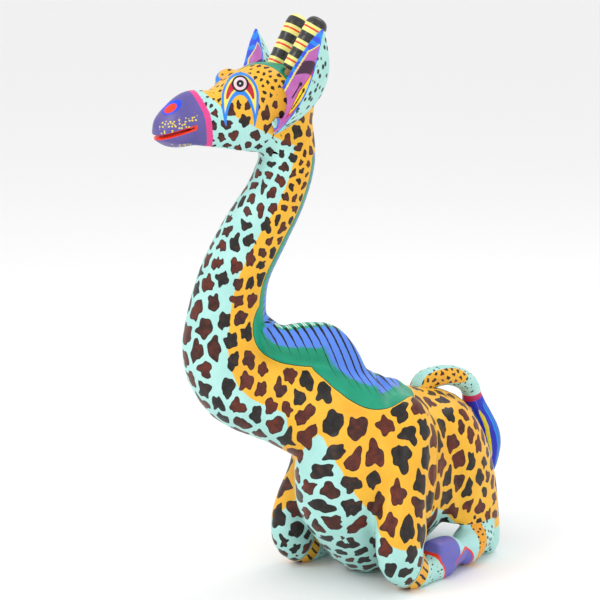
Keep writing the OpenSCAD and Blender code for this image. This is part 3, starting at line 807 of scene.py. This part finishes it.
def body_paint():
    p = Paint("painted_coat")
    base, raised = coat(p)
    base = feet_layers(p, mane_layer(p, base))
    return p.finish(p.lay(base, wood_colour(p), p.field("bare")), raised)


def head_paint():
    p = Paint("painted_head")
    base, raised = coat(p)
    base = face_layers(p, mane_layer(p, base))
    return p.finish(p.lay(base, wood_colour(p), p.field("bare")), raised)


def ear_paint(wide_edge):
    """Blue rim, mauve hollow with a crescent and a lens in front; mint with dashes behind."""
    p = Paint("painted_ear_" + ("outer" if wide_edge > 0 else "inner"))
    up, across, half = p.parts("leaf")
    front = p.field("front")
    wobble = p.noise(0.3, 2.0) * 0.4
    right = across * float(wide_edge)
    edge = half - abs(across)
    rim = p.most(3.1, p.least(right * 0.6 + 1.5, 6.4)) + p.most((up - 0.74) * 45.0, 0.0)
    patch = p.math("SINE", up * 62.0 + p.noise(0.1, 2.0) * 3.0) - 0.1
    blue = p.lay(ROYAL, AZURE, patch * -1.0, 0.5)
    mauve = p.clouded(MAUVE, MAUVE_DEEP, p.noise(0.06, 3.0), 0.9, 0.4)
    hollow = p.lay(blue, PALE_YELLOW, rim - edge + wobble)
    hollow = p.lay(hollow, mauve, rim + 1.1 - edge + wobble)
    inner = p.inside(rim + 1.4 - edge + wobble)
    cap = p.most(abs(up - 0.64 + right * right * 0.0004) - 0.055, 0.0)
    hollow = p.over(inner * p.inside(cap - 0.004, 0.01), hollow, BLACK)
    tall = (up - 0.40) * 100.0
    lens = (p.length(tall / 19.0, (right - 0.5) / (4.9 - abs(tall) * 0.15)) - 1.0) * 4.5
    hollow = p.over(inner * p.inside(lens - 1.1), hollow, CRIMSON)
    hollow = p.over(inner * p.inside(lens), hollow, GOLD)
    stem = p.most(abs(right + 0.4) - 0.8, abs(tall + 6.0) - 9.0)
    bud = p.length(tall - 4.0, right + 0.4) - 2.0
    outer_stem = p.most(abs(right - 7.0 - tall * 0.12) - 0.7, abs(tall + 12.0) - 7.0)
    outer_bud = p.length(tall + 4.0, right - 7.0) - 1.5
    far_bud = p.length(tall - 6.0, right + 7.0) - 1.7
    far_stem = p.most(abs(right + 7.5) - 0.7, abs(tall + 1.0) - 7.0)
    marks = p.least(stem, bud, outer_stem, outer_bud, p.least(far_bud, far_stem))
    hollow = p.over(inner * p.inside(marks + wobble), hollow, BLACK)
    mint = p.clouded(MINT, MINT_SHADE, p.noise(0.05, 3.0), 0.7, 0.4)
    dash = p.dots(p.vector(across / 3.2, up * 100.0 / 6.8, front / 9.0)) - 0.32
    behind = p.lay(mint, BLACK, dash, 0.1)
    colour = p.lay(behind, blue, front - 0.6)
    colour = p.lay(colour, hollow, front + 0.4)
    return p.finish(p.lay(colour, wood_colour(p), p.field("bare")))


def horn_paint(name, shift):
    """Black with three pale yellow bands, each with a red line round it."""
    p = Paint(name, 0.35, 0.25)
    up = p.field("up") + p.noise(0.2, 2.0) * 0.25
    sheen = p.noise(0.35, 4.0, stretch=(1.0, 1.0, 2.2))
    black = p.clouded(HORN_BLACK, HORN_GREY, sheen, 0.9, 0.25)
    step = (p.math("FRACT", (up - shift) / 16.5) - 0.5) * 16.5
    banded = p.most(abs(step) - 4.1, up - 50.0 + shift)
    colour = p.lay(black, LEMON, banded)
    colour = p.lay(colour, ORANGE_RED, p.most(abs(step - 0.5) - 0.85, banded))
    return p.finish(p.lay(colour, wood_colour(p), up + 0.6), p.inside(banded, 0.8) * 0.8)


def tail_paint():
    """Yellow sides with small spots, mint with dashes over and under, and a magenta band at the end."""
    p = Paint("painted_tail")
    far, rise, out = p.parts("tail")
    wobble = p.noise(0.35, 2.0) * 0.5
    yellow = p.clouded(YELLOW, AMBER, p.noise(0.05, 3.0), 0.8, 0.4)
    mint = p.clouded(MINT, MINT_SHADE, p.noise(0.05, 3.0), 0.8, 0.4)
    lobe = (p.length(p.most(far - 56.0, 0.0) / 18.0, (rise - 0.05) / 0.74) - 1.0) * 7.0
    lobe = p.least(lobe, far - 12.0)
    mint = p.lay(mint, BLACK, p.dots(p.vector(rise * 3.2, far / 4.0, out * 0.2)) - 0.3, 0.1)
    fill = p.lay(BLACK, BROWN, p.field("tone") * -4.0 + 2.0)
    yellow = p.lay(yellow, fill, p.field("spot") + wobble * 0.4)
    colour = p.lay(mint, yellow, lobe + wobble)
    band = far - p.field("seam")
    colour = p.lay(colour, rgb(206, 48, 104), -band - 4.5)
    return p.finish(p.lay(colour, wood_colour(p), p.field("bare")))


def tuft_paint():
    """Royal blue with lighter streaks and tapering yellow drops down the hair."""
    p = Paint("painted_tuft", 0.36, 0.2)
    far, cosine, sine = p.parts("tail")
    down = far - p.field("seam")
    turn = p.math("ARCTAN2", sine, cosine) + p.noise(0.05, 2.0) * 0.12
    wide = p.length(cosine, sine)
    deep = p.over(p.math("MULTIPLY_ADD", p.noise(0.12, 4.0, stretch=(1, 1, 0.25)), 0.9, 0.35, clamp=True),
                  TUFT_BLUE, rgb(38, 62, 222))

    def streaks(number, offset, start, end, broad):
        step = abs(p.math("FRACT", turn * (number / 6.28318) + offset) - 0.5) * (6.28318 / number) * wide
        taper = p.least((down - start) / 12.0, (end - down) / 26.0, 1.0)
        return p.inside(step - p.root(taper) * broad)

    colour = p.over(streaks(5.0, 0.5, 6.0, 78.0, 2.6), deep, TUFT_STREAK)
    colour = p.over(streaks(5.0, 0.62, 8.0, 72.0, 0.8), colour, AZURE)
    colour = p.over(streaks(5.0, 0.0, 12.0, 66.0, 1.9), colour, TUFT_YELLOW)
    colour = p.lay(colour, rgb(206, 48, 104), down - 1.0)
    return p.finish(colour)


def bare_wood():
    p = Paint("bare_wood", 0.6, 0.0)
    return p.finish(wood_colour(p), p.noise(0.8, 3.0, stretch=(1, 1, 0.1)))


# ----------------------------------------------------------------------------------------------------------- pieces
def keep(piece, nodes, body, slot, material):
    piece.data.materials.append(material)
    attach(piece, body)
    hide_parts(*nodes)


def parted(mesh, planes):
    """Cut the mesh along planes without taking anything away."""
    for point, way in planes:
        at = Vector(to_metres(np.array(point, float)))
        bmesh.ops.bisect_plane(mesh, geom=mesh.verts[:] + mesh.edges[:] + mesh.faces[:], plane_co=at,
                               plane_no=Vector(way).normalized(), dist=1e-7)


def owner(p):
    """The block that a place on the figure belongs to."""
    if past(p, HEAD_CUT) > 0:
        return "head"
    if past(p, NECK_BASE_CUT) > 0:
        return "neck_upper" if past(p, NECK_MIDDLE_CUT) > 0 else "neck_lower"
    if abs(p[0]) < HALF_PLANK:
        return "torso_core"
    side = "left_" if p[0] > 0 else "right_"
    x, y, z = abs(p[0]), p[1], p[2]
    if x > FORE_NOTCH[0] and FORE_NOTCH[1] < y < HOOF_STOP and z < FORE_NOTCH[2]:
        return side + "fore_shin"
    if x > HIND_NOTCH[0] and HOOF_STOP < y < HIND_NOTCH[1] and z < HIND_NOTCH[2]:
        return side + "hind_shin"
    return side + ("shoulder" if y < FLANK_SEAM else "haunch")


def closed(bm, field, solid):
    """Close each sawn side with facets that meet at a point in the block, if they stay inside the figure."""
    middle = np.mean([v.co for v in bm.verts], 0)
    layers = bm.verts.layers
    seen = set()
    for first in [e for e in bm.edges if e.is_boundary]:
        if first in seen:
            continue
        seen.add(first)
        rim = [first]
        for edge in rim:
            for e in (e for v in edge.verts for e in v.link_edges if e.is_boundary and e not in seen):
                seen.add(e)
                rim.append(e)
        halves = np.array([(e.verts[0].co + e.verts[1].co) / 2 for e in rim])
        for depth in CAP_DEPTHS:
            tip_at = halves.mean(0) * (1 - depth) + middle * depth
            reach = np.linspace(0.03, 0.97, 24)[:, None, None]
            tried = (halves * (1 - reach) + tip_at * reach).reshape(-1, 3)
            if field.sampled(solid, tried / MM - ORIGIN).max() < 0.15:
                break
        else:
            continue
        ways = [(e.link_loops[0].link_loop_next.vert, e.link_loops[0].vert) for e in rim]
        tip = bm.verts.new(tip_at)
        tip[layers.float_vector["facing"]] = unit(tip_at - middle)
        tip[layers.float["bare"]], tip[layers.float["spot"]] = -6.0, 9.0
        for a, b in ways:
            bm.faces.new((a, b, tip))
        for edge in rim:
            edge.smooth = False


def build_statue():
    field, solid = carved_statue()
    points, quads = field.surface(solid)
    whole = new_object("statue_whole", points, quads, statue_paint(points, point_normals(points, quads)))
    bm = bmesh.new()
    bm.from_mesh(whole.data)
    parted(bm, [HEAD_CUT, NECK_BASE_CUT, NECK_MIDDLE_CUT])
    for s in (1, -1):
        parted(bm, [((s * x, 0, 0), (1, 0, 0)) for x in (HALF_PLANK, FORE_NOTCH[0], HIND_NOTCH[0])])
    parted(bm, [((0, y, 0), (0, 1, 0)) for y in (FORE_NOTCH[1], FLANK_SEAM, HOOF_STOP, HIND_NOTCH[1])])
    parted(bm, [((0, 0, FORE_NOTCH[2]), (0, 0, 1))])
    names = [owner(np.array(face.calc_center_median()) / MM - ORIGIN) for face in bm.faces]
    materials = {"coat": body_paint(), "head": head_paint()}
    for node in STATUE:
        part = bm.copy()
        part.faces.ensure_lookup_table()
        bmesh.ops.delete(part, geom=[f for f, n in zip(part.faces, names) if n != node], context="FACES")
        closed(part, field, solid)
        mesh = bpy.data.meshes.new(node + "_carved")
        part.to_mesh(mesh)
        part.free()
        facing = np.empty(len(mesh.vertices) * 3, np.float32)
        mesh.attributes["facing"].data.foreach_get("vector", facing)
        mesh.normals_split_custom_set_from_vertices(unit(facing.reshape(-1, 3)))
        mesh.attributes.remove(mesh.attributes["facing"])
        made = bpy.data.objects.new(node + "_carved", mesh)
        bpy.context.scene.collection.objects.link(made)
        keep(made, [node], "statue", "shin_paint" if "shin" in node else "painted_coat",
             materials["head" if node in ("head", "neck_upper") else "coat"])
    bm.free()
    bpy.data.objects.remove(whole)
    return field, solid


def ear_leaf(tip, faces):
    """Points on the open side and on the back of an ear, in rows from root to tip, with their place on the leaf."""
    up, over = np.meshgrid(np.linspace(0, 1, 181), np.linspace(-1, 1, 91), indexing="ij")
    axis = unit(tip - EAR_ROOT)
    out = unit(faces - axis * (np.array(faces) @ axis))
    wide = np.cross(axis, out)
    half = EAR_WIDE / 2 * np.sin(np.pi * up ** 0.8).clip(0) ** 0.8 + 1.5
    cup, bow = 0.55 * half * over ** 2, 10 * np.sin(np.pi * up)
    thick = EAR_THICK * np.sin(np.pi * (up * 0.94 + 0.03)) * (1 - 0.8 * over ** 2)
    front = EAR_ROOT + (tip - EAR_ROOT) * up[..., None] + wide * (half * over)[..., None] + out * (cup - bow)[..., None]
    back = front - out * thick[..., None]
    place = np.stack([up, over * half, half], -1)
    return front, back, place


def build_ear(name, s, statue, solid):
    front, back, place = ear_leaf(EAR_TIP[name], EAR_FACES[name])
    rows, row = front.shape[:2]
    grid = np.arange(rows * row).reshape(rows, row)
    a, b, c, d = grid[:-1, :-1].ravel(), grid[:-1, 1:].ravel(), grid[1:, 1:].ravel(), grid[1:, :-1].ravel()
    fore = np.stack([a, d, c, b], 1)
    rim = np.concatenate([grid[0, :], grid[1:, -1], grid[-1, -2::-1], grid[-2:0:-1, 0]])
    ahead = np.roll(rim, -1)
    count = rows * row
    quads = np.concatenate([fore, fore[:, ::-1] + count, np.stack([rim, ahead, ahead + count, rim + count], 1)])
    points = np.concatenate([front.reshape(-1, 3), back.reshape(-1, 3)]) * (1, s, 1)
    if s < 0:
        quads = quads[:, ::-1]
    at = from_head(points)
    peg_end = from_head((EAR_PEG_AT - EAR_PEG_WAY * EAR_PEG_LEN) * (1, s, 1))
    field = Field(np.minimum(at.min(0), peg_end) - 8, np.maximum(at.max(0), peg_end) + 8, FINER)
    ear = field.of(at, quads=quads, reach=6)
    f, l, u = axes_in_head(field.x, field.y, field.z)
    l = l * s
    ear = join(ear, rod(f, l, u, EAR_PEG_AT, EAR_PEG_WAY, EAR_STEM_D, 16, -2), 3)
    head = statue.at(field, solid)
    ear = np.maximum(ear, 0.35 - head)
    soften(ear, 1)
    ear = np.minimum(ear, rod(f, l, u, EAR_PEG_AT, EAR_PEG_WAY, EAR_PEG_D, EAR_PEG_LEN, -2))
    points, quads = field.surface(ear)
    local = to_head(points) * (1, s, 1)
    marks = place.reshape(-1, 3)
    leaf, gap_front = nearest_of(local, front.reshape(-1, 3))
    _, gap_back = nearest_of(local, back.reshape(-1, 3))
    cell = np.rint((points - field.low) / FINER).astype(int).clip(0, np.array(field.shape) - 1)
    peg = rod(*local.T, EAR_PEG_AT, EAR_PEG_WAY, EAR_PEG_D + 1, EAR_PEG_LEN + 3, 0)
    bare = np.maximum(peg, head[tuple(cell.T)] + 1)
    values = {"leaf": marks[leaf], "front": gap_front - 0.6 * np.minimum(gap_back, 3), "bare": bare}
    piece = new_object(name + "_ear_carved", points, quads, values)
    keep(piece, [name + "_ear"], name + "_ear_piece", "ear_paint", ear_paint(s))


def nearest_of(points, cloud):
    """For each point the closest of a cloud's points, and how far it is."""
    tree = KDTree(len(cloud))
    for i, place in enumerate(cloud):
        tree.insert(place, i)
    tree.balance()
    found = np.array([tree.find(place)[1:] for place in points])
    return found[:, 0].astype(int), found[:, 1]


def build_horn(name, s):
    """A horn turned in rings, each painted band swelling a little, with its peg below."""
    shift = -1.75 if s > 0 else -5.75
    heights = np.concatenate([[-HORN_PEG_LEN, -HORN_PEG_LEN, -HORN_PEG_LEN + 0.8, -0.01, 0.0, 0.6],
                              np.arange(1.2, HORN_LEN - 8, 0.6)])
    body = (HORN_BASE_D + (HORN_TIP_D - HORN_BASE_D) * np.clip(heights / (HORN_LEN - 9), 0, 1)) / 2
    body = body - 0.35 + 0.35 * np.abs(np.sin(np.pi * (heights - shift) / 8.25)) ** 0.7
    radii = np.where(heights < 0, HORN_PEG_D / 2, body)
    radii[0], radii[1] = 0.05, HORN_PEG_D / 2 - 0.8
    radii[4] -= 0.6
    dome = np.linspace(0, np.pi / 2, 14)[1:]
    top = radii[-1]
    heights = np.concatenate([heights, heights[-1] + (HORN_LEN - heights[-1]) * np.sin(dome)])
    radii = np.concatenate([radii, np.maximum(top * np.cos(dome) ** 0.75, 0.05)])
    way = horn_way(s)
    e1 = unit(np.cross(way, (0, 1, 0)))
    e2 = np.cross(way, e1)
    turns = np.linspace(0, 2 * np.pi, 48, endpoint=False)
    ring = np.cos(turns)[:, None] * e1 + np.sin(turns)[:, None] * e2
    points = HORN_ROOT * (1, s, 1) + way * heights[:, None, None] + ring[None] * radii[:, None, None]
    grid = np.arange(points.shape[0] * 48).reshape(-1, 48)
    ahead = np.roll(grid, -1, axis=1)
    quads = np.stack([grid[:-1], ahead[:-1], ahead[1:], grid[1:]], -1).reshape(-1, 4)
    piece = new_object(name + "_horn_turned", from_head(points.reshape(-1, 3)), quads,
                       {"up": np.repeat(heights, 48)})
    bm = bmesh.new()
    bm.from_mesh(piece.data)
    bmesh.ops.holes_fill(bm, edges=[e for e in bm.edges if e.is_boundary], sides=0)
    bmesh.ops.recalc_face_normals(bm, faces=bm.faces)
    bm.to_mesh(piece.data)
    bm.free()
    keep(piece, [name + "_horn"], name + "_horn_piece", "horn_bands", horn_paint("painted_" + name + "_horn", shift))


def build_tail():
    line = drawn(TAIL_LINE, 1.0)
    ahead = unit(np.gradient(line, axis=0))
    seam = float(nearest(np.array([TUFT_CUT[0]], float), line)[0][0])
    whole_points, triangles = node_faces("tail", "tail_tuft", "tuft_dowel")
    field = Field(whole_points.min(0) - 8, whole_points.max(0) + 8, FINER)
    whole = soften(field.filled(field.of(whole_points, triangles), 4), 5) - 0.5
    beyond = sum((v - c) * w for v, c, w in zip((field.x, field.y, field.z), TUFT_CUT[0], unit(TUFT_CUT[1])))
    for node, material in (("tail", tail_paint()), ("tail_tuft", tuft_paint())):
        if node == "tail":
            peg = rod(field.x, field.y, field.z, (*TAIL_AT, TAIL_SEAT), (0, 0, 1), TAIL_PEG_D, 24, 3)
            under = np.maximum(field.z - TAIL_SEAT - 0.1, field.y - TAIL_AT[1] - 50)
            solid = np.minimum(np.maximum(np.maximum(whole, -under), beyond), peg)
        else:
            solid = np.maximum(whole, 0.05 - beyond)
        points, quads = field.surface(solid)
        index, _ = nearest(points, line)
        off = points - line[index]
        side = unit(np.array((1.0, 0, 0)) - ahead[index] * ahead[index, :1])
        up = np.cross(side, ahead[index])
        across, rise = np.einsum("ij,ij->i", off, side), np.einsum("ij,ij->i", off, up)
        far = index + np.einsum("ij,ij->i", off, ahead[index])
        if node == "tail":
            wide = np.hypot(across, rise) + 1e-6
            normals = point_normals(points, quads)
            apart = np.full(len(points), 8.0)
            spot, tone = spots(points, normals, apart, ahead[index], far > 9, seed=11)
            values = {"tail": np.stack([far, rise / wide, across], 1), "spot": spot, "tone": tone,
                      "bare": rod(*points.T, (*TAIL_AT, TAIL_SEAT), (0, 0, 1), TAIL_ROOT_D + 6, 30, 0.5)}
        else:
            values = {"tail": np.stack([far, across, rise], 1)}
        values["seam"] = np.full(len(points), seam)
        piece = new_object(node + "_carved", points, quads, values)
        keep(piece, [node], "tail_piece", "painted_coat" if node == "tail" else "tuft_paint", material)


statue_field, statue_solid = build_statue()
for name, s in (("left", 1), ("right", -1)):
    build_ear(name, s, statue_field, statue_solid)
    build_horn(name, s)
build_tail()
wood = bare_wood()
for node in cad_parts.values():
    node.data.materials.clear()
    node.data.materials.append(wood)


# ------------------------------------------------------------------------------------------------------------ studio
def add_light(name, place, size, power, aim=(-0.03, -0.03, 0.25)):
    light = bpy.data.lights.new(name, "AREA")
    light.shape, light.size, light.energy = "DISK", size, power
    lamp = bpy.data.objects.new(name, light)
    lamp.location = place
    lamp.rotation_euler = (Vector(aim) - Vector(place)).to_track_quat("-Z", "Y").to_euler()
    bpy.context.scene.collection.objects.link(lamp)


CAMERA_AT, CAMERA_AIM, CAMERA_LENS = (1095.3, -1497.9, 621.0), (-55.4, -30.0, 258.0), 122.9
SKY_STRENGTH, FLOOR_SIZE = 0.97, 30
scene = bpy.context.scene
scene.view_settings.view_transform = "Standard"
world = bpy.data.worlds.new("studio")
world.use_nodes = True
world.node_tree.nodes["Background"].inputs["Color"].default_value = (1, 1, 1, 1)
world.node_tree.nodes["Background"].inputs["Strength"].default_value = SKY_STRENGTH
scene.world = world
bpy.ops.mesh.primitive_plane_add(size=FLOOR_SIZE)
floor = bpy.context.object
floor.name = "floor"
pale = bpy.data.materials.new("pale_floor")
pale.use_nodes = True
pale.node_tree.nodes["Principled BSDF"].inputs["Base Color"].default_value = (0.9, 0.9, 0.9, 1)
pale.node_tree.nodes["Principled BSDF"].inputs["Roughness"].default_value = 0.9
floor.data.materials.append(pale)
add_light("key", (-0.5, -1.7, 1.7), 0.9, 15)
add_light("fill", (1.8, -0.8, 0.9), 1.2, 4)
add_light("top", (0.2, 0.9, 1.9), 1.0, 7)
camera = bpy.data.objects.new("camera", bpy.data.cameras.new("camera"))
camera.data.lens = CAMERA_LENS
camera.location = to_metres(CAMERA_AT)
camera.rotation_euler = (Vector(to_metres(CAMERA_AIM)) - camera.location).to_track_quat("-Z", "Y").to_euler()
scene.collection.objects.link(camera)
scene.camera = camera
